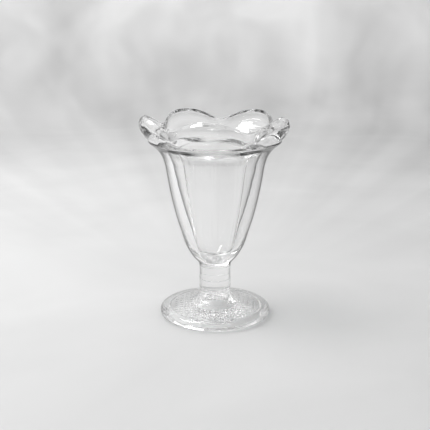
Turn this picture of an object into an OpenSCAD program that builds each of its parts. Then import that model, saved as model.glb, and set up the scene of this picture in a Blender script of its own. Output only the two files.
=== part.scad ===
// Footed parfait glass: a fluted tulip bowl under a scalloped collar,
// on a short solid stem and a round pressed foot.
// Millimetres, +Z up. The origin is on the glass's axis, at the surface it stands on.

/* [Foot] */
// Diameter of the foot
foot_d = 75; // [66:0.5:84]
// Height of the foot's boss, where the stem starts
foot_h = 25.5; // [22:0.5:32]
// Height at which the foot's edge is widest
edge_mid_h = 3.2; // [2.4:0.1:4]
// Rise of the rounded edge from its widest line to its top
edge_rise = 3.5; // [2.5:0.1:4.5]
// How far the rounded edge reaches in on the top
edge_in = 4.5; // [3:0.1:6]
// How far the edge is rounded in underneath
edge_under = 2.8; // [2:0.1:4]
// Slope of the foot's top, in degrees
top_slope = 11; // [6:0.5:14]
// Radius of the fillet between the foot's top and its boss
boss_fillet_r = 8; // [5:0.5:9]
// Width of the flat ring that the glass stands on
rest_w = 4.2; // [2.5:0.1:6]
// Depth that the hollow under the foot rises to towards its middle
hollow_h = 2.4; // [1.4:0.1:3.5]
// Depth of the hollow just inside the resting ring
hollow_edge_h = 1.3; // [0.8:0.1:1.4]
// How far the hollow's side leans in
hollow_lean = 0.8; // [0.4:0.1:1.6]
// Rise of the dome in the middle of the hollow
dome_h = 12; // [6:0.5:13]
// Radius of the dome at its foot
dome_r = 14; // [11:0.5:16]
// How far in the dome's side spreads
dome_side = 11; // [6:0.5:11]

/* [Stem] */
// Diameter of the stem, its boss and the bowl's base
stem_d = 21.2; // [17:0.2:25]
// Height of the stem
stem_h = 9.2; // [6:0.2:16]
// How far the stem's side draws in at half its height
stem_waist = 0.2; // [0:0.05:0.6]
// Rounding of the seams above and below the stem
seam_r = 0.35; // [0.2:0.05:0.8]

/* [Bowl] */
// Height of the bowl's fluted body, up to the ledge
body_h = 86; // [70:0.5:105]
// Diameter of the ledge where the body meets the collar
ledge_d = 87.8; // [78:0.2:94]
// Height of the ledge's bead
bead_h = 2; // [1:0.1:3]
// How far the bead stands out from the body
bead_step = 0.7; // [0.2:0.1:1.2]
// Thickness of the bowl's wall at the ledge, in the middle of a flute
wall = 4.2; // [3.4:0.1:5]
// Thickness of the same wall at the bowl's base
base_wall = 6.3; // [5:0.1:6.8]
// Thickness of the glass under the bowl's floor
floor_h = 5; // [3.5:0.1:8]
// Height over which the floor rounds up into the wall
floor_round_h = 9; // [6:0.5:14]
// Depth of the creases between the flutes, at the ledge's radius
flute_depth = 4.6; // [1:0.1:5.2]
// Depth of the same creases on the inside
flute_depth_in = 2.2; // [1.6:0.1:3]
// Turn of the flutes about the axis, in degrees
flute_turn = 0; // [-36:1:36]

/* [Collar] */
// Number of petals on the rim, and of flutes below them
petal_count = 5; // [4:1:8]
// Largest diameter across the petals
rim_d = 99.4; // [92:0.2:106]
// Height of the petals above the ledge
petal_h = 16.8; // [12:0.2:22]
// Height of the dips between petals above the ledge
dip_h = 8.8; // [6:0.2:11]
// Diameter across the dips between petals
dip_d = 80; // [74:0.2:86]
// Thickness of the rim's lip
lip_w = 2; // [1.5:0.1:3]
// Turn of the petals about the axis, in degrees
petal_turn = -6; // [-36:1:36]
// How much the fire-polished rim spreads the front petal, in degrees
petal_spread = 4; // [0:0.5:8]
// How much the fire-polished rim lifts the front petal and drops the back ones
petal_lift = 1; // [0:0.1:1.5]

/* [Hidden] */
glass_tint = [0.86, 0.91, 0.91, 0.5];
// Facets round the bowl, and rings along each stretch of its wall
ring_facets = 80;
body_rings = 20;
collar_rings = 8;
lip_rings = 5;
lining_rings = 18;
round_fn = 120;
arc_steps = 14;
hollow_steps = 24;
// Body's outline: height, and reach from the stem out to the ledge
body_height_shares = [0, 0.024, 0.075, 0.165, 0.295, 0.42, 0.58, 0.715, 0.835, 0.905, 0.955, 1];
body_reach_shares = [0, 0.02, 0.13, 0.27, 0.385, 0.485, 0.585, 0.65, 0.705, 0.77, 0.865, 1];
// Petal's outline: height, and reach from the ledge out to the rim
petal_height_shares = [0, 0.18, 0.42, 0.66, 0.9, 1];
petal_reach_shares = [0, 0.46, 0.86, 1, 0.76, 0.4];
// Where the flutes start and end up the body, and how sharp their creases are
flute_start_share = 0.03;
flute_grow_share = 0.16;
flute_end_share = 0.05;
crease_share = 0.85;
crease_in_share = 0.62;
petal_crease_share = 0.72;
// Share of the body's height over which the wall's slope is measured
slope_share = 0.04;
// Height and reach of the rings that round the bead
bead_height_shares = [0.25, 0.5, 1];
bead_reach_shares = [0.75, 1, 1];
stem_r = stem_d / 2;
foot_r = foot_d / 2;
ledge_r = ledge_d / 2;
rim_r = rim_d / 2;
dip_r = dip_d / 2;
body_top_r = ledge_r - bead_step;
stem_z = foot_h;
bowl_z = stem_z + stem_h;
ledge_z = bowl_z + body_h;
floor_z = bowl_z + floor_h;
half_turn = 180 / petal_count;
facets = petal_count * round(ring_facets / petal_count);
petal_side_h = petal_h - lip_w / 2;
dip_side_h = dip_h - lip_w / 2;

// Smooth curve through a table of places and values
function chord(xs, ys, i) = (ys[i + 1] - ys[i]) / (xs[i + 1] - xs[i]);
function slope_at(xs, ys, i) =
    i == 0 ? chord(xs, ys, 0)
    : i == len(xs) - 1 ? chord(xs, ys, i - 1)
    : (chord(xs, ys, i - 1) + chord(xs, ys, i)) / 2;
function span_at(xs, t, i = 0) = i >= len(xs) - 2 || t <= xs[i + 1] ? i : span_at(xs, t, i + 1);
function curve_at(xs, ys, t) =
    let (i = span_at(xs, t), w = xs[i + 1] - xs[i], v = (t - xs[i]) / w)
    ys[i] * (1 + 2 * v) * pow(1 - v, 2) + ys[i + 1] * (3 - 2 * v) * pow(v, 2)
    + w * v * (1 - v) * (slope_at(xs, ys, i) * (1 - v) - slope_at(xs, ys, i + 1) * v);

// 0 to 1 with no kink at either end
function ease(t) = let (v = max(0, min(1, t))) v * v * (3 - 2 * v);

// 0 in the middle of a lobe and 1 in the crease beside it: a broad arc
// that turns into a narrow rounded crease past the share s
function lobe(u, s) = u < s ? u * u / s : 1 - pow(1 - u, 2) / (1 - s);

// How far round from the middle of its lobe a direction is, from 0 to 1
function across(phi, turn) =
    let (a = phi - turn + half_turn)
    abs(a - 2 * half_turn * floor(a / (2 * half_turn)) - half_turn) / half_turn;

// Body: radius of the round form, and depth of the creases, at a share of its height
function body_r(t) = stem_r + (body_top_r - stem_r) * curve_at(body_height_shares, body_reach_shares, t);
function crease_fade(t) =
    body_r(t) / ledge_r * ease((t - flute_start_share) / flute_grow_share)
    * ease((1 - t) / flute_end_share);
function body_point(phi, t) =
    [body_r(t) - flute_depth * crease_fade(t) * lobe(across(phi, flute_turn), crease_share),
        bowl_z + (body_h - bead_h) * t];

// Inside of the body: the wall is measured square to the slope, and thickens towards the base
function body_slope(t) =
    let (a = max(0, t - slope_share), b = min(1, t + slope_share))
    (body_r(b) - body_r(a)) / ((b - a) * body_h);
function wall_at(t) = wall + (base_wall - wall) * (1 - t);
function lining_round(z) = let (v = min(1, (z - floor_z) / floor_round_h)) sqrt(v * (2 - v));
function lining_point(phi, z) =
    let (t = (z - bowl_z) / body_h)
    [(body_r(t) + bead_step * ease(t) - wall_at(t) * sqrt(1 + pow(body_slope(t), 2))
        - flute_depth_in * crease_fade(t) * lobe(across(phi, flute_turn), crease_in_share))
        * lining_round(z), z];

// Collar: outer point at a share of its height, and the direction along it
function collar_point(phi, s) =
    let (p = lobe(across(phi - petal_spread * sin(phi - petal_turn), petal_turn), petal_crease_share))
    [ledge_r + (rim_r - ledge_r) * curve_at(petal_height_shares, petal_reach_shares, s) * (1 - p)
        + (dip_r - ledge_r) * s * p,
        ledge_z + (petal_side_h + petal_lift * cos(phi - petal_turn) * (1 - p)
            + (dip_side_h - petal_side_h) * p) * s];
function collar_along(phi, s) =
    let (a = max(0, s - slope_share), d = collar_point(phi, a + slope_share) - collar_point(phi, a))
    d / norm(d);
function collar_lining_point(phi, s) =
    let (d = collar_along(phi, s), e = ease(s * 2), top = lining_point(phi, ledge_z)[0])
    collar_point(phi, s) - [ledge_r - top, 0] * (1 - e) - (wall + (lip_w - wall) * s) * [d[1], -d[0]] * e;
function lip_point(phi, turn) =
    let (d = collar_along(phi, 1), out = [d[1], -d[0]])
    collar_point(phi, 1) + lip_w / 2 * (out * (cos(turn) - 1) + d * sin(turn));

// A profile point turned to its place, and the directions of the facets
function spin(phi, p) = [p[0] * sin(phi), -p[0] * cos(phi), p[1]];
function facet_phi(i) = flute_turn + i * 360 / facets;
function bunched(k, n) = (1 - cos(180 * k / n)) / 2;

// One ring of facets, from the profile point that belongs to each direction
function ring(profile) = [for (i = [0:facets - 1]) let (phi = facet_phi(i)) spin(phi, profile(phi))];

// Bowl's rings: from the base up the outside, over the bead, and down the inside to the floor
bowl_rings = [
    ring(function (phi) [stem_r - seam_r, bowl_z]),
    for (k = [0:body_rings])
        let (t = bunched(k, body_rings), seam = k == 0 ? seam_r : 0)
        ring(function (phi) body_point(phi, t) + [0, seam]),
    for (k = [0:len(bead_height_shares) - 1])
        ring(function (phi) [body_top_r + bead_step * bead_reach_shares[k],
            ledge_z - bead_h * (1 - bead_height_shares[k])]),
    for (k = [0:lining_rings - 1])
        let (z = ledge_z + (floor_z - ledge_z) * bunched(k, lining_rings))
        ring(function (phi) lining_point(phi, z))
];

// Collar's rings: up the outside from the ledge, over the lip and down the inside
collar_loop = [
    for (k = [0:collar_rings])
        ring(function (phi) collar_point(phi, k / collar_rings)),
    for (k = [1:lip_rings])
        ring(function (phi) lip_point(phi, 180 * k / (lip_rings + 1))),
    for (k = [0:collar_rings])
        ring(function (phi) collar_lining_point(phi, 1 - k / collar_rings))
];

// Skins a list of rings: closed by a fan at each end point, or into a loop with no end points
module ring_skin(rings, ends = []) {
    n = len(rings[0]);
    m = len(rings);
    spans = len(ends) > 0 ? m - 2 : m - 1;
    quads = [for (k = [0:spans], i = [0:n - 1])
        let (a = k * n, b = (k + 1) % m * n, j = (i + 1) % n) [a + i, b + i, b + j, a + j]];
    walls = [for (q = quads) each [[q[0], q[1], q[3]], [q[3], q[1], q[2]]]];
    fans = len(ends) == 0 ? [] : [for (i = [0:n - 1]) let (j = (i + 1) % n)
        each [[m * n, i, j], [m * n + 1, (m - 1) * n + j, (m - 1) * n + i]]];
    polyhedron(points = concat([for (r = rings) each r], ends), faces = concat(walls, fans), convexity = 6);
}

// Scalloped collar: five petals that flare from the ledge and draw in at the lip
module collar() {
    color(glass_tint) ring_skin(collar_loop);
}

// Fluted tulip bowl, solid at its base, with a bead round its ledge
module bowl() {
    color(glass_tint) ring_skin(bowl_rings, [[0, 0, bowl_z], [0, 0, floor_z]]);
}

// Short solid stem, drawn in a little at its middle
module stem() {
    side = [for (k = [0:arc_steps])
        [stem_r - stem_waist * sin(180 * k / arc_steps), seam_r + (stem_h - 2 * seam_r) * k / arc_steps]];
    color(glass_tint) translate([0, 0, stem_z]) rotate_extrude($fn = round_fn)
        polygon(concat([[0, 0], [stem_r - seam_r, 0]], side, [[stem_r - seam_r, stem_h], [0, stem_h]]));
}

// Round foot: resting ring, hollow with a dome underneath, sloping top and boss
edge_r = foot_r - edge_in;
edge_turn = atan(edge_rise / edge_in / tan(top_slope));
edge_top = [edge_r + edge_in * cos(edge_turn), edge_mid_h + edge_rise * sin(edge_turn)];
fillet_r = stem_r + boss_fillet_r;
fillet_foot_r = fillet_r - boss_fillet_r * sin(top_slope);
fillet_z = edge_top[1] + tan(top_slope) * (edge_top[0] - fillet_foot_r) + boss_fillet_r * cos(top_slope);
rest_out_r = foot_r - edge_under;
rest_in_r = rest_out_r - rest_w;
hollow_r = rest_in_r - hollow_lean;
module foot() {
    hollow = [for (k = [0:hollow_steps]) let (s = k / hollow_steps)
        [hollow_r * s, hollow_h + (hollow_edge_h - hollow_h) * s * s
            + dome_h * ease((dome_r - hollow_r * s) / dome_side)]];
    under = [for (k = [0:arc_steps]) let (a = 90 * k / arc_steps)
        [rest_out_r + edge_under * sin(a), edge_mid_h * (1 - cos(a))]];
    over = [for (k = [1:arc_steps]) let (a = edge_turn * k / arc_steps)
        [edge_r + edge_in * cos(a), edge_mid_h + edge_rise * sin(a)]];
    fillet = [for (k = [0:arc_steps]) let (a = 270 - top_slope - (90 - top_slope) * k / arc_steps)
        [fillet_r + boss_fillet_r * cos(a), fillet_z + boss_fillet_r * sin(a)]];
    top = [[stem_r, foot_h - seam_r], [stem_r - seam_r, foot_h], [0, foot_h]];
    color(glass_tint) rotate_extrude($fn = round_fn)
        polygon(concat(hollow, [[rest_in_r, 0]], under, over, fillet, top));
}

collar();
bowl();
stem();
foot();
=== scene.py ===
"""Footed parfait glass of clear pressed glass, on a pale cloth in soft light from a window on the left."""
import math

import bpy
import numpy as np
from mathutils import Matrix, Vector


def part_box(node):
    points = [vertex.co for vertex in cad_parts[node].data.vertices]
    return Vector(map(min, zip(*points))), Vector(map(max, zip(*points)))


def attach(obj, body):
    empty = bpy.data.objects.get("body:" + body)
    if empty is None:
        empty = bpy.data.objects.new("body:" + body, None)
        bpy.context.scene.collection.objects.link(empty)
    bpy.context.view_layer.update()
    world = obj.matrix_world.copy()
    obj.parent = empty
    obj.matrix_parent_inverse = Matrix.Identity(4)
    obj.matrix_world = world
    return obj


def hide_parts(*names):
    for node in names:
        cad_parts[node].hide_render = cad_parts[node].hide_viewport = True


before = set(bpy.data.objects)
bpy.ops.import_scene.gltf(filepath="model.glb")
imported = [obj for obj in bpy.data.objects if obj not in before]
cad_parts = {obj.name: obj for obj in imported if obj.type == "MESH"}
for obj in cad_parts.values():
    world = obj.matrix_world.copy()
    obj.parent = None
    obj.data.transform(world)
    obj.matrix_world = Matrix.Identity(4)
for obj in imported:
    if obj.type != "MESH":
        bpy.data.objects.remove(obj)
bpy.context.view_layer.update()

MM = 0.001

# Heights and radii that the CAD parts in model.glb give
LEDGE_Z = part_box("collar")[0].z
BOWL_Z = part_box("bowl")[0].z
STEM_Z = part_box("stem")[0].z
STEM_R = (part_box("stem")[1].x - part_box("stem")[0].x) / 2
FOOT_R = (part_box("foot")[1].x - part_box("foot")[0].x) / 2

# Bowl
LEDGE_R = 43.9 * MM
BEAD_H = 2 * MM
BEAD_STEP = 0.7 * MM
WALL = 4.2 * MM
BASE_WALL = 6.3 * MM
FLOOR_H = 5 * MM
FLOOR_ROUND_H = 9 * MM
FLUTE_DEPTH = 4.6 * MM
FLUTE_DEPTH_IN = 2.2 * MM
FLUTE_TURN = 0
FLUTE_START_SHARE = 0.03
FLUTE_GROW_SHARE = 0.16
FLUTE_END_SHARE = 0.05
CREASE_SHARE = 0.85
CREASE_IN_SHARE = 0.62
SLOPE_SHARE = 0.04
BODY_HEIGHT_SHARES = [0, 0.024, 0.075, 0.165, 0.295, 0.42, 0.58, 0.715, 0.835, 0.905, 0.955, 1]
BODY_REACH_SHARES = [0, 0.02, 0.13, 0.27, 0.385, 0.485, 0.585, 0.65, 0.705, 0.77, 0.865, 1]
BODY_TOP_R = LEDGE_R - BEAD_STEP
BODY_H = LEDGE_Z - BOWL_Z
FLOOR_Z = BOWL_Z + FLOOR_H

# Collar
PETALS = 5
HALF_TURN = math.pi / PETALS
RIM_R = 49.7 * MM
PETAL_H = 16.8 * MM
DIP_H = 8.8 * MM
DIP_R = 40 * MM
LIP_W = 2 * MM
PETAL_TURN = math.radians(-6)
PETAL_SPREAD = math.radians(4)
PETAL_LIFT = 1 * MM
PETAL_CREASE_SHARE = 0.72
PETAL_HEIGHT_SHARES = [0, 0.18, 0.42, 0.66, 0.9, 1]
PETAL_REACH_SHARES = [0, 0.46, 0.86, 1, 0.76, 0.4]
LINING_TURN_SHARE = 0.5

# Stem and foot
SEAM_R = 0.25 * MM
STEM_WAIST = 0.2 * MM
EDGE_MID_H = 3.2 * MM
EDGE_RISE = 3.5 * MM
EDGE_IN = 4.5 * MM
EDGE_UNDER = 2.8 * MM
TOP_SLOPE = math.radians(11)
BOSS_FILLET_R = 8 * MM
REST_W = 4.2 * MM
HOLLOW_H = 2.4 * MM
HOLLOW_EDGE_H = 1.3 * MM
HOLLOW_LEAN = 0.8 * MM
DOME_H = 12 * MM
DOME_R = 14 * MM
DOME_SIDE = 11 * MM
DOT_PITCH = 3.4 * MM
DOT_H = 0.3 * MM
DOT_R_SHARE = 0.3375
DOT_SIDE_SHARE = 0.25
DOT_BORDER = 1.5 * MM

# Points round the glass, and rings along each stretch of it
AROUND = 360
AROUND_FOOT = 480
BODY_RINGS = 110
BEAD_RINGS = 10
COLLAR_RINGS = 40
LIP_RINGS = 17
LINING_RINGS = 100
HOLLOW_RINGS = 80
ARC_RINGS = 28
SEAM_RINGS = 6
BASE_RINGS = 5
OUTLINE_STEP = 1.2 * MM
OUTLINE_PARTS = 6
TINY = 1e-12

# Glass: how far its waves are drawn up, its clear tone, the painted shade where it is seen edge on, and its
# haze
GLASS_IOR = 1.5
WAVE_STRETCH = 0.15
CLEAR_TONE = 0.997
PAINTED_EDGE_START = 0.45
PAINTED_EDGE_FULL = 0.75
SMEAR_SCALE = 60.0
SMEAR_START = 0.45
SMEAR_FULL = 0.8
SHADOW_TONE = (0.62, 0.63, 0.63, 1)

# Cloth round the glass
CLOTH_R = 1.2
CLOTH_BEND_R = 0.3
CLOTH_H = 0.62
CLOTH_GAP = 0.2 * MM
CLOTH_AROUND = 96
CLOTH_RINGS = 9
CLOTH_BEND_RINGS = 20
CLOTH_ROUGHNESS = 0.9

# Tones of the cloth: low down and from TONE_H up, its mottling, painted light and shade of its folds
# behind, and painted shade falling off to the right
LOW_TONE = 0.74
HIGH_TONE = 0.90
TONE_H = 0.3
MOTTLE_SCALE = 7.0
MOTTLE_TONE = 0.08
FOLD_SCALE = 9.0
PAINTED_FOLD_SHADE = 0.2
FOLD_SHARE = 0.6
FOLD_START_Y = 0.1
FOLD_FULL_Y = 1.0
PAINTED_FALLOFF_AXIS = (1, -0.4, 0)
PAINTED_FALLOFF_START = -0.4
PAINTED_FALLOFF_FULL = 0.2
PAINTED_FALLOFF_SHADE = 0.83

# Room: its tone away from and towards its light side, and overhead
ROOM_STRENGTH = 1.6
ROOM_AXIS = (-0.5, 0.6, 0)
ROOM_REACH = 0.8
ROOM_DARK = 0.35
ROOM_LIGHT = 0.9
OVERHEAD_START = 0.6
OVERHEAD_TONE = 0.3

# Window
WINDOW_PLACE = (-0.50, 0.08, 0.97)
WINDOW_W = 0.45
WINDOW_H = 0.50
WINDOW_POWER = 6.5

# Camera, as solved from the ellipses of the foot and the ledge
CAMERA_BACK = 525.3 * MM
CAMERA_UP = 202 * MM
CAMERA_TILT = math.radians(14.2)
FOCAL_SHARE = 808 / 430
SENSOR_W = 36

# How often light is followed through the glass
BOUNCES = 24
GLOSSY_BOUNCES = 12

# Material slots of a piece
GLASS = 0
SEAM = 1
MATERIALS = {}


def smooth_curve(places, values, t):
    """A smooth curve through a table of places and values, read at t."""
    xs, ys = np.array(places, float), np.array(values, float)
    chord = np.diff(ys) / np.diff(xs)
    slope = np.concatenate([chord[:1], (chord[:-1] + chord[1:]) / 2, chord[-1:]])
    i = np.clip(np.searchsorted(xs, t, side="left") - 1, 0, len(xs) - 2)
    w = xs[i + 1] - xs[i]
    v = (t - xs[i]) / w
    bend = w * v * (1 - v) * (slope[i] * (1 - v) - slope[i + 1] * v)
    return ys[i] * (1 + 2 * v) * (1 - v) ** 2 + ys[i + 1] * (3 - 2 * v) * v ** 2 + bend


def ease(t):
    """0 to 1 with no kink at either end."""
    v = np.clip(t, 0, 1)
    return v * v * (3 - 2 * v)


def lobe(u, share):
    """0 in the middle of a lobe and 1 in the rounded crease beside it."""
    return np.where(u < share, u * u / share, 1 - (1 - u) ** 2 / (1 - share))


def across(phi, turn):
    """How far round from the middle of its lobe a direction is, from 0 to 1."""
    return np.abs((phi - turn + HALF_TURN) % (2 * HALF_TURN) - HALF_TURN) / HALF_TURN


def shares(count):
    """Even shares up to 1, without the 0."""
    return [k / count for k in range(1, count + 1)]


def bunched(count):
    """Shares from 0 to 1 that lie closer together at both ends."""
    return (1 - np.cos(np.linspace(0, math.pi, count + 1))) / 2


def directions(count):
    """Directions all round the axis; 0 is towards the viewer and they grow to the right."""
    return np.arange(count) * 2 * math.pi / count


def level(phi, value):
    """The same value in every direction."""
    return np.full_like(phi, value)


def spin(phi, r, z):
    """A ring of points round the axis."""
    r, z = np.broadcast_to(r, phi.shape), np.broadcast_to(z, phi.shape)
    return np.stack([r * np.sin(phi), -r * np.cos(phi), z], axis=-1)


def body_radius(t):
    """Radius of the body's round form at a share of its height."""
    return STEM_R + (BODY_TOP_R - STEM_R) * smooth_curve(BODY_HEIGHT_SHARES, BODY_REACH_SHARES, t)


def crease_fade(t):
    """Depth of the creases at a share of the body's height, as a share of their depth at the ledge."""
    grown = ease((t - FLUTE_START_SHARE) / FLUTE_GROW_SHARE)
    return body_radius(t) / LEDGE_R * grown * ease((1 - t) / FLUTE_END_SHARE)


def body_side(phi, t):
    """Outside of the fluted body: radius and height."""
    crease = FLUTE_DEPTH * crease_fade(t) * lobe(across(phi, FLUTE_TURN), CREASE_SHARE)
    return body_radius(t) - crease, BOWL_Z + (BODY_H - BEAD_H) * t


def lining(phi, z):
    """Inside of the body: the wall, measured square to the slope, thickens towards the base, and the
    floor rounds up into it."""
    t = (z - BOWL_Z) / BODY_H
    low, high = np.maximum(0, t - SLOPE_SHARE), np.minimum(1, t + SLOPE_SHARE)
    slope = (body_radius(high) - body_radius(low)) / ((high - low) * BODY_H)
    v = np.clip((z - FLOOR_Z) / FLOOR_ROUND_H, 0, 1)
    crease = FLUTE_DEPTH_IN * crease_fade(t) * lobe(across(phi, FLUTE_TURN), CREASE_IN_SHARE)
    wall = (WALL + (BASE_WALL - WALL) * (1 - t)) * np.sqrt(1 + slope ** 2)
    r = body_radius(t) + BEAD_STEP * ease(t) - wall - crease
    return r * np.sqrt(v * (2 - v)), z


def collar_side(phi, s):
    """Outside of the collar at a share of its height: radius and height."""
    spread = phi - PETAL_SPREAD * np.sin(phi - PETAL_TURN)
    p = lobe(across(spread, PETAL_TURN), PETAL_CREASE_SHARE)
    reach = (RIM_R - LEDGE_R) * smooth_curve(PETAL_HEIGHT_SHARES, PETAL_REACH_SHARES, s)
    petal_side_h = PETAL_H - LIP_W / 2 + PETAL_LIFT * np.cos(phi - PETAL_TURN)
    r = LEDGE_R + reach * (1 - p) + (DIP_R - LEDGE_R) * s * p
    return r, LEDGE_Z + (petal_side_h * (1 - p) + (DIP_H - LIP_W / 2) * p) * s


def collar_along(phi, s):
    """Direction up the collar's outside, as its radius and height parts."""
    low = np.maximum(0, s - SLOPE_SHARE)
    (r0, z0), (r1, z1) = collar_side(phi, low), collar_side(phi, low + SLOPE_SHARE)
    length = np.hypot(r1 - r0, z1 - z0)
    return (r1 - r0) / length, (z1 - z0) / length


def collar_lining(phi, s):
    """Inside of the collar: it leaves the bowl's lining level and turns square to the wall."""
    r, z = collar_side(phi, s)
    dr, dz = collar_along(phi, s)
    turned = ease(s / LINING_TURN_SHARE)
    start = LEDGE_R - lining(phi, level(phi, LEDGE_Z))[0]
    wall = WALL + (LIP_W - WALL) * s
    return r - start * (1 - turned) - wall * dz * turned, z + wall * dr * turned


def lip(phi, turn):
    """Half round of the lip, from the outside over to the inside."""
    r, z = collar_side(phi, level(phi, 1.0))
    dr, dz = collar_along(phi, level(phi, 1.0))
    out, up = LIP_W / 2 * (np.cos(turn) - 1), LIP_W / 2 * np.sin(turn)
    return r + dz * out + dr * up, z - dr * out + dz * up


def seam_rounding(seam_z, side, count):
    """Radii and heights of a piece's rounded edge, from the seam out to its full radius. side is 1 for
    the piece above the seam and -1 for the one below."""
    return [(STEM_R - SEAM_R * (1 - math.sin(a)), seam_z + side * SEAM_R * (1 - math.cos(a)))
            for a in np.linspace(0, math.pi / 2, count)]


def ring_normals(rings):
    """Smooth normals of a grid of rings that runs up the outside and down the inside."""
    round_it = np.roll(rings, -1, axis=1) - np.roll(rings, 1, axis=1)
    along = np.gradient(rings, axis=0)
    n = np.cross(round_it, along)
    return n / np.maximum(np.linalg.norm(n, axis=2, keepdims=True), TINY)


def ring_quads(count, n, bands):
    """Quads of the bands between rings of n points. The band after the last ring closes the loop."""
    i = np.arange(n)
    j = (i + 1) % n
    quads = []
    for k in range(bands):
        low, high = k * n, (k + 1) % count * n
        quads += np.stack([low + i, low + j, high + j, high + i], axis=1).tolist()
    return quads


def end_fan(ring, centre, n, sign):
    """Triangles from a ring to its centre, seen from above where sign is 1 and from below where -1."""
    i = np.arange(n)
    j = (i + 1) % n
    rim = (j, i) if sign < 0 else (i, j)
    return np.stack([np.full(n, centre), ring * n + rim[0], ring * n + rim[1]], axis=1).tolist()


def new_mesh(name, verts, faces, materials):
    """A smooth mesh object in the scene."""
    mesh = bpy.data.meshes.new(name)
    mesh.from_pydata(verts, [], faces)
    for material in materials:
        mesh.materials.append(material)
    mesh.polygons.foreach_set("use_smooth", [True] * len(mesh.polygons))
    piece = bpy.data.objects.new(name, mesh)
    bpy.context.scene.collection.objects.link(piece)
    return piece


def build_piece(node, rings, normals, skins, first=None, last=None):
    """Skins rings into a closed piece that stands for a CAD node. skins holds one material index for
    each band between rings, and one more for a band that closes the loop; first and last are the
    height and material of the fan that closes an end."""
    count, n = rings.shape[:2]
    verts = rings.reshape(-1, 3).tolist()
    vert_normals = normals.reshape(-1, 3).tolist()
    faces = ring_quads(count, n, len(skins))
    face_skins = np.repeat(skins, n).tolist()
    for end, ring, sign in ((first, 0, -1), (last, count - 1, 1)):
        if end is None:
            continue
        faces += end_fan(ring, len(verts), n, sign)
        verts.append((0, 0, end[0]))
        vert_normals.append((0, 0, sign))
        face_skins += [end[1]] * n
    name = f"{node}_glass"
    piece = new_mesh(name, verts, faces, [MATERIALS[node], MATERIALS["seam"]])
    piece.data.polygons.foreach_set("material_index", face_skins)
    piece.data.normals_split_custom_set_from_vertices(vert_normals)
    piece.data.update()
    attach(piece, "root")
    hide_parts(node)


def bowl_outside(phi):
    """Rings of the bowl from its base, up the fluted body and over the bead to the ledge."""
    rings = [spin(phi, r, z) for r, z in seam_rounding(BOWL_Z, 1, BASE_RINGS)[:-1]]
    for t in bunched(BODY_RINGS):
        r, z = body_side(phi, level(phi, t))
        rings.append(spin(phi, r, np.maximum(z, BOWL_Z + SEAM_R)))
    for s in shares(BEAD_RINGS):
        bulge = math.sin(min(s * 2, 1) * math.pi / 2)
        rings.append(spin(phi, BODY_TOP_R + BEAD_STEP * bulge, LEDGE_Z - BEAD_H * (1 - s)))
    return rings


def collar_rings(phi):
    """Rings of the collar: up its outside, over the lip, and down its inside to the ledge."""
    up = [spin(phi, *collar_side(phi, level(phi, s))) for s in shares(COLLAR_RINGS)]
    over = [spin(phi, *lip(phi, math.pi * s)) for s in shares(LIP_RINGS + 1)[:-1]]
    down = [spin(phi, *collar_lining(phi, level(phi, 1 - s))) for s in [0] + shares(COLLAR_RINGS)]
    return up + over + down


def bowl_inside(phi):
    """Rings of the bowl's lining, from under the ledge down to its floor."""
    return [spin(phi, *lining(phi, level(phi, LEDGE_Z + (FLOOR_Z - LEDGE_Z) * s)))
            for s in bunched(LINING_RINGS)[1:-1]]


def make_bowl_and_collar():
    """Both are ringed as one, so that their normals agree at the ledge, and parted there."""
    phi = FLUTE_TURN + directions(AROUND)
    outside, collar, inside = bowl_outside(phi), collar_rings(phi), bowl_inside(phi)
    rings = np.array(outside + collar + inside)
    normals = ring_normals(rings)
    ledge = len(outside) - 1
    inner_ledge = ledge + len(collar)
    up = slice(ledge, inner_ledge + 1)
    build_piece("collar", rings[up], normals[up], [GLASS] * len(collar) + [SEAM])
    bowl = np.concatenate([rings[:ledge + 1], rings[inner_ledge:]])
    bowl_normals = np.concatenate([normals[:ledge + 1], normals[inner_ledge:]])
    skins = [GLASS] * ledge + [SEAM] + [GLASS] * len(inside)
    build_piece("bowl", bowl, bowl_normals, skins, first=(BOWL_Z, SEAM), last=(FLOOR_Z, GLASS))


def make_stem():
    """The short drum between the two seams, drawn in a little at half its height."""
    side_h = BOWL_Z - STEM_Z - 2 * SEAM_R
    side = [(STEM_R - STEM_WAIST * math.sin(math.pi * s), STEM_Z + SEAM_R + side_h * s)
            for s in np.linspace(0, 1, ARC_RINGS)]
    low = seam_rounding(STEM_Z, 1, SEAM_RINGS)[:-1]
    high = seam_rounding(BOWL_Z, -1, SEAM_RINGS)[-2::-1]
    phi = directions(AROUND)
    rings = np.array([spin(phi, r, z) for r, z in low + side + high])
    build_piece("stem", rings, ring_normals(rings), [GLASS] * (len(rings) - 1),
                first=(STEM_Z, SEAM), last=(BOWL_Z, SEAM))


def arc(r, z, width, height, turns):
    """Points of a round edge about a middle at r and z, out by width and up by height."""
    return [(r + width * math.cos(a), z + height * math.sin(a)) for a in turns]


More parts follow.
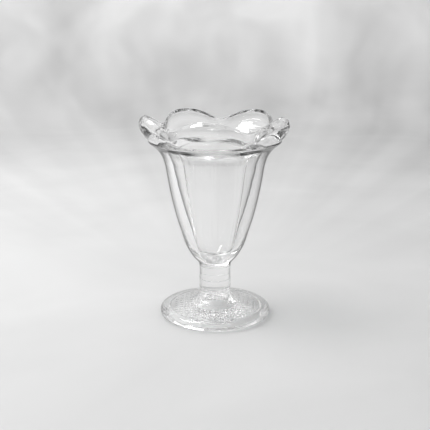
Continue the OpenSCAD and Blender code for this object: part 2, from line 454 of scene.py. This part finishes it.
def foot_outline():
    """The foot from the inner side of its resting ring, over the edge and up the boss to the stem."""
    edge_r = FOOT_R - EDGE_IN
    edge_turn = math.atan(EDGE_RISE / EDGE_IN / math.tan(TOP_SLOPE))
    edge_top_r = edge_r + EDGE_IN * math.cos(edge_turn)
    edge_top_z = EDGE_MID_H + EDGE_RISE * math.sin(edge_turn)
    fillet_r = STEM_R + BOSS_FILLET_R
    fillet_foot_r = fillet_r - BOSS_FILLET_R * math.sin(TOP_SLOPE)
    slope_rise = math.tan(TOP_SLOPE) * (edge_top_r - fillet_foot_r)
    fillet_z = edge_top_z + slope_rise + BOSS_FILLET_R * math.cos(TOP_SLOPE)
    rest_r = FOOT_R - EDGE_UNDER
    part = np.linspace(0, 1, ARC_RINGS)
    fillet_turns = 3 / 2 * math.pi - TOP_SLOPE - (math.pi / 2 - TOP_SLOPE) * part
    under = arc(rest_r, EDGE_MID_H, EDGE_UNDER, EDGE_MID_H, (part - 1) * math.pi / 2)
    over = arc(edge_r, EDGE_MID_H, EDGE_IN, EDGE_RISE, part[1:] * edge_turn)
    fillet = arc(fillet_r, fillet_z, BOSS_FILLET_R, BOSS_FILLET_R, fillet_turns)
    top = seam_rounding(STEM_Z, -1, SEAM_RINGS)[::-1]
    return [(rest_r - REST_W, 0.0)] + under + over + fillet + top


def spread_points(outline):
    """Adds points along the straight stretches of an outline, so that its normals turn only at the
    corners."""
    out = [outline[0]]
    for a, b in zip(outline[:-1], outline[1:]):
        parts = max(1, min(OUTLINE_PARTS, round(math.dist(a, b) / OUTLINE_STEP)))
        out += [(a[0] + (b[0] - a[0]) * s, a[1] + (b[1] - a[1]) * s) for s in shares(parts)]
    return out


def dots(x, y):
    """Height of the small round dots pressed into the foot's hollow, in a square grid."""
    u = (x / DOT_PITCH) % 1 - 0.5
    v = (y / DOT_PITCH) % 1 - 0.5
    return DOT_H * ease((DOT_R_SHARE - np.hypot(u, v)) / DOT_SIDE_SHARE)


def hollow_rings(phi, hollow_r):
    """Rings of the foot's underside: a shallow dotted hollow with a dome in its middle."""
    rings = []
    for s in shares(HOLLOW_RINGS):
        r = hollow_r * s
        fade = ease((hollow_r - r) / DOT_BORDER - 1)
        z = HOLLOW_H + (HOLLOW_EDGE_H - HOLLOW_H) * s * s + DOME_H * ease((DOME_R - r) / DOME_SIDE)
        rings.append(spin(phi, r, z - fade * dots(r * np.sin(phi), -r * np.cos(phi))))
    return rings


def make_foot():
    """The round foot with its boss, closed by the stem's seam above and the dome's middle below."""
    phi = directions(AROUND_FOOT)
    outline = foot_outline()
    hollow = hollow_rings(phi, outline[0][0] - HOLLOW_LEAN)
    rings = np.array(hollow + [spin(phi, r, z) for r, z in spread_points(outline)])
    build_piece("foot", rings, ring_normals(rings), [GLASS] * (len(rings) - 1),
                first=(HOLLOW_H + DOME_H, GLASS), last=(STEM_Z, SEAM))


def add_node(tree, kind, **values):
    """A node with its properties or sockets set by name."""
    node = tree.nodes.new(kind)
    for key, value in values.items():
        if hasattr(node, key):
            setattr(node, key, value)
        else:
            node.inputs[key.replace("_", " ")].default_value = value
    return node


def new_material(name):
    """An empty material and its node tree."""
    material = bpy.data.materials.new(name)
    material.use_nodes = True
    material.node_tree.nodes.clear()
    return material, material.node_tree


def remap(tree, source, low, high, at_low, at_high):
    """The source mapped so that low gives at_low and high gives at_high, held level beyond them."""
    node = add_node(tree, "ShaderNodeMapRange", From_Min=low, From_Max=high, To_Min=at_low, To_Max=at_high)
    tree.links.new(source, node.inputs["Value"])
    return node.outputs["Result"]


def combine(tree, operation, first, second):
    """Two values added or multiplied."""
    node = add_node(tree, "ShaderNodeMath", operation=operation)
    tree.links.new(first, node.inputs[0])
    tree.links.new(second, node.inputs[1])
    return node.outputs["Value"]


def noise(tree, place, **values):
    """Noise at a place."""
    node = add_node(tree, "ShaderNodeTexNoise", **values)
    tree.links.new(place, node.inputs["Vector"])
    return node.outputs["Fac"]


def how_far(tree, place, direction):
    """How far a place lies in a direction."""
    node = add_node(tree, "ShaderNodeVectorMath", operation="DOT_PRODUCT")
    node.inputs[1].default_value = direction
    tree.links.new(place, node.inputs[0])
    return node.outputs["Value"]


def split_axes(tree, place):
    """The x, y and z of a place."""
    node = add_node(tree, "ShaderNodeSeparateXYZ")
    tree.links.new(place, node.inputs["Vector"])
    return node.outputs


def wave_normal(tree, place, size, height):
    """Faint waves that the mould leaves, drawn up along the glass."""
    drawn = add_node(tree, "ShaderNodeMapping")
    drawn.inputs["Scale"].default_value = (1, 1, WAVE_STRETCH)
    tree.links.new(place, drawn.inputs["Vector"])
    waves = noise(tree, drawn.outputs["Vector"], Scale=1 / size, Detail=1.0, Roughness=0.4)
    bump = add_node(tree, "ShaderNodeBump", Strength=1.0, Distance=height)
    tree.links.new(waves, bump.inputs["Height"])
    return bump.outputs["Normal"]


def pale_shadow(tree, glass):
    """Lets part of the light through to what lies behind the glass, and closes the node tree."""
    rays = add_node(tree, "ShaderNodeLightPath")
    clear = add_node(tree, "ShaderNodeBsdfTransparent", Color=SHADOW_TONE)
    mix = add_node(tree, "ShaderNodeMixShader")
    out = add_node(tree, "ShaderNodeOutputMaterial")
    tree.links.new(rays.outputs["Is Shadow Ray"], mix.inputs["Fac"])
    tree.links.new(glass.outputs["BSDF"], mix.inputs[1])
    tree.links.new(clear.outputs["BSDF"], mix.inputs[2])
    tree.links.new(mix.outputs["Shader"], out.inputs["Surface"])


def glass_material(name, wave_size, wave_height, haze, painted_edge_shade):
    """Clear pressed glass with faint waves, a trace of handling haze, and painted shade that darkens
    its colour where it is seen edge on, for dark outlines."""
    material, tree = new_material(name)
    glass = add_node(tree, "ShaderNodeBsdfPrincipled", IOR=GLASS_IOR, Transmission_Weight=1.0)
    place = add_node(tree, "ShaderNodeTexCoord").outputs["Object"]
    edge = add_node(tree, "ShaderNodeLayerWeight", Blend=0.5).outputs["Facing"]
    # Painted shade: the glass's colour darkens from its clear tone where it is seen edge on, for dark
    # outlines.
    tone = remap(tree, edge, PAINTED_EDGE_START, PAINTED_EDGE_FULL, CLEAR_TONE, painted_edge_shade)
    smears = noise(tree, place, Scale=SMEAR_SCALE, Detail=3.0, Roughness=0.6)
    dull = remap(tree, smears, SMEAR_START, SMEAR_FULL, 0.0, haze)
    tree.links.new(tone, glass.inputs["Base Color"])
    tree.links.new(dull, glass.inputs["Roughness"])
    tree.links.new(wave_normal(tree, place, wave_size, wave_height), glass.inputs["Normal"])
    pale_shadow(tree, glass)
    return material


def collar_material():
    """The petals are fire-polished, so their waves are a little lower than the bowl's."""
    # Edge on, the petals are darkened a little by painted shade.
    return glass_material("pressed_collar", wave_size=10 * MM, wave_height=0.08 * MM, haze=0.02,
                          painted_edge_shade=0.9)


def bowl_material():
    """The bowl is darkened most by painted shade where it is seen edge on, down to black."""
    return glass_material("pressed_bowl", wave_size=9 * MM, wave_height=0.1 * MM, haze=0.02,
                          painted_edge_shade=0.0)


def stem_material():
    """The stem is a solid drum with the shallowest waves."""
    # Edge on, the stem is darkened by painted shade.
    return glass_material("pressed_stem", wave_size=8 * MM, wave_height=0.05 * MM, haze=0.02,
                          painted_edge_shade=0.2)


def foot_material():
    """The foot has the most haze, where it is handled and set down."""
    # Edge on, the foot is darkened by painted shade.
    return glass_material("pressed_foot", wave_size=10 * MM, wave_height=0.05 * MM, haze=0.05,
                          painted_edge_shade=0.5)


def seam_material():
    """Where one piece of glass is fused to the next: nothing shows."""
    material, tree = new_material("seam_clear")
    clear = add_node(tree, "ShaderNodeBsdfTransparent", Color=(1, 1, 1, 1))
    out = add_node(tree, "ShaderNodeOutputMaterial")
    tree.links.new(clear.outputs["BSDF"], out.inputs["Surface"])
    return material


def make_materials():
    """The glass of each piece, and what shows where two pieces meet."""
    MATERIALS["collar"] = collar_material()
    MATERIALS["bowl"] = bowl_material()
    MATERIALS["stem"] = stem_material()
    MATERIALS["foot"] = foot_material()
    MATERIALS["seam"] = seam_material()


def painted_fold_shade(tree, place, behind):
    """Painted light and shade of faint folds that run up the cloth, fading out towards the glass and in
    front of it.
    """
    heading = add_node(tree, "ShaderNodeVectorMath", operation="NORMALIZE")
    tree.links.new(place, heading.inputs[0])
    folds = noise(tree, heading.outputs["Vector"], Scale=FOLD_SCALE, Detail=2.0, Distortion=0.4)
    # Painted light and shade: the folds are lighter and darker by turns in the cloth's colour.
    tone = remap(tree, folds, 0.3, 0.7, -PAINTED_FOLD_SHADE, PAINTED_FOLD_SHADE)
    depth = remap(tree, behind, FOLD_START_Y, FOLD_FULL_Y, 0.0, FOLD_SHARE)
    return combine(tree, "MULTIPLY", tone, depth)


def cloth_material():
    """Pale cloth, softly mottled, with painted light and shade of faint folds behind, deeper low down, and
    painted shade deepening away to the right.
    """
    material, tree = new_material("pale_sheet")
    cloth = add_node(tree, "ShaderNodeBsdfPrincipled", Roughness=CLOTH_ROUGHNESS)
    out = add_node(tree, "ShaderNodeOutputMaterial")
    place = add_node(tree, "ShaderNodeTexCoord").outputs["Object"]
    axes = split_axes(tree, place)
    mottle = noise(tree, place, Scale=MOTTLE_SCALE, Detail=3.0, Distortion=0.6)
    mottle_tone = remap(tree, mottle, 0.0, 1.0, -MOTTLE_TONE, MOTTLE_TONE)
    height_tone = remap(tree, axes["Z"], 0.0, TONE_H, LOW_TONE, HIGH_TONE)
    # Painted shade: the cloth darkens towards the right, standing in for the window's light falling off.
    painted_falloff = remap(tree, how_far(tree, place, PAINTED_FALLOFF_AXIS), PAINTED_FALLOFF_START, PAINTED_FALLOFF_FULL, 1.0, PAINTED_FALLOFF_SHADE)
    uneven = combine(tree, "ADD", painted_fold_shade(tree, place, axes["Y"]), mottle_tone)
    tone = combine(tree, "MULTIPLY", combine(tree, "ADD", uneven, height_tone), painted_falloff)
    tree.links.new(tone, cloth.inputs["Base Color"])
    tree.links.new(cloth.outputs["BSDF"], out.inputs["Surface"])
    return material


def cloth_line():
    """Side of the cloth as radii and heights: flat, then bent up, then upright."""
    flat_r = CLOTH_R - CLOTH_BEND_R
    flat = [(flat_r * s, 0) for s in shares(CLOTH_RINGS)[:-1]]
    turns = np.linspace(-math.pi / 2, 0, CLOTH_BEND_RINGS)
    return flat + arc(flat_r, CLOTH_BEND_R, CLOTH_BEND_R, CLOTH_BEND_R, turns) + [(CLOTH_R, CLOTH_H)]


def make_floor():
    """A round pale cloth that lies flat under the glass and curves up all round it. A hair of air parts
    it from the foot's resting ring, as its weave does."""
    n = CLOTH_AROUND
    rings = np.array([spin(directions(n), r, z - CLOTH_GAP) for r, z in cloth_line()])
    verts = [(0, 0, -CLOTH_GAP)] + rings.reshape(-1, 3).tolist()
    faces = [(0, 1 + i, 1 + (i + 1) % n) for i in range(n)]
    for k in range(len(rings) - 1):
        low, high = 1 + k * n, 1 + (k + 1) * n
        faces += [(low + i, high + i, high + (i + 1) % n, low + (i + 1) % n) for i in range(n)]
    new_mesh("floor", verts, faces, [cloth_material()])


def make_world():
    """A room that is lightest behind on the left, and darker overhead and to the front right."""
    world = bpy.data.worlds.new("room")
    bpy.context.scene.world = world
    world.use_nodes = True
    tree = world.node_tree
    back = tree.nodes["Background"]
    back.inputs["Strength"].default_value = ROOM_STRENGTH
    place = add_node(tree, "ShaderNodeTexCoord").outputs["Generated"]
    side = how_far(tree, place, ROOM_AXIS)
    sideways = remap(tree, side, -ROOM_REACH, ROOM_REACH, ROOM_DARK, ROOM_LIGHT)
    overhead = remap(tree, split_axes(tree, place)["Z"], OVERHEAD_START, 1.0, 1.0, OVERHEAD_TONE)
    tree.links.new(combine(tree, "MULTIPLY", sideways, overhead), back.inputs["Color"])


def make_window():
    """A soft window high on the left, a little behind the glass."""
    data = bpy.data.lights.new("window", "AREA")
    data.shape = "RECTANGLE"
    data.size = WINDOW_W
    data.size_y = WINDOW_H
    data.energy = WINDOW_POWER
    light = bpy.data.objects.new("window", data)
    bpy.context.scene.collection.objects.link(light)
    light.location = WINDOW_PLACE
    aim = Vector((0, 0, LEDGE_Z)) - Vector(WINDOW_PLACE)
    light.rotation_euler = aim.to_track_quat("-Z", "Y").to_euler()


def make_camera():
    """The photograph's view: in front of the glass, a little above it and looking down at it."""
    data = bpy.data.cameras.new("camera")
    data.sensor_width = SENSOR_W
    data.lens = FOCAL_SHARE * SENSOR_W
    camera = bpy.data.objects.new("camera", data)
    bpy.context.scene.collection.objects.link(camera)
    camera.location = (0, -CAMERA_BACK, CAMERA_UP)
    camera.rotation_euler = (math.pi / 2 - CAMERA_TILT, 0, 0)
    bpy.context.scene.camera = camera


def set_view():
    """Plain colours, and enough bounces for light to pass the glass walls."""
    scene = bpy.context.scene
    scene.view_settings.view_transform = "Standard"
    scene.cycles.use_denoising = True
    scene.cycles.max_bounces = BOUNCES
    scene.cycles.transmission_bounces = BOUNCES
    scene.cycles.transparent_max_bounces = BOUNCES
    scene.cycles.glossy_bounces = GLOSSY_BOUNCES


make_camera()
make_materials()
make_bowl_and_collar()
make_stem()
make_foot()
make_floor()
make_world()
make_window()
set_view()
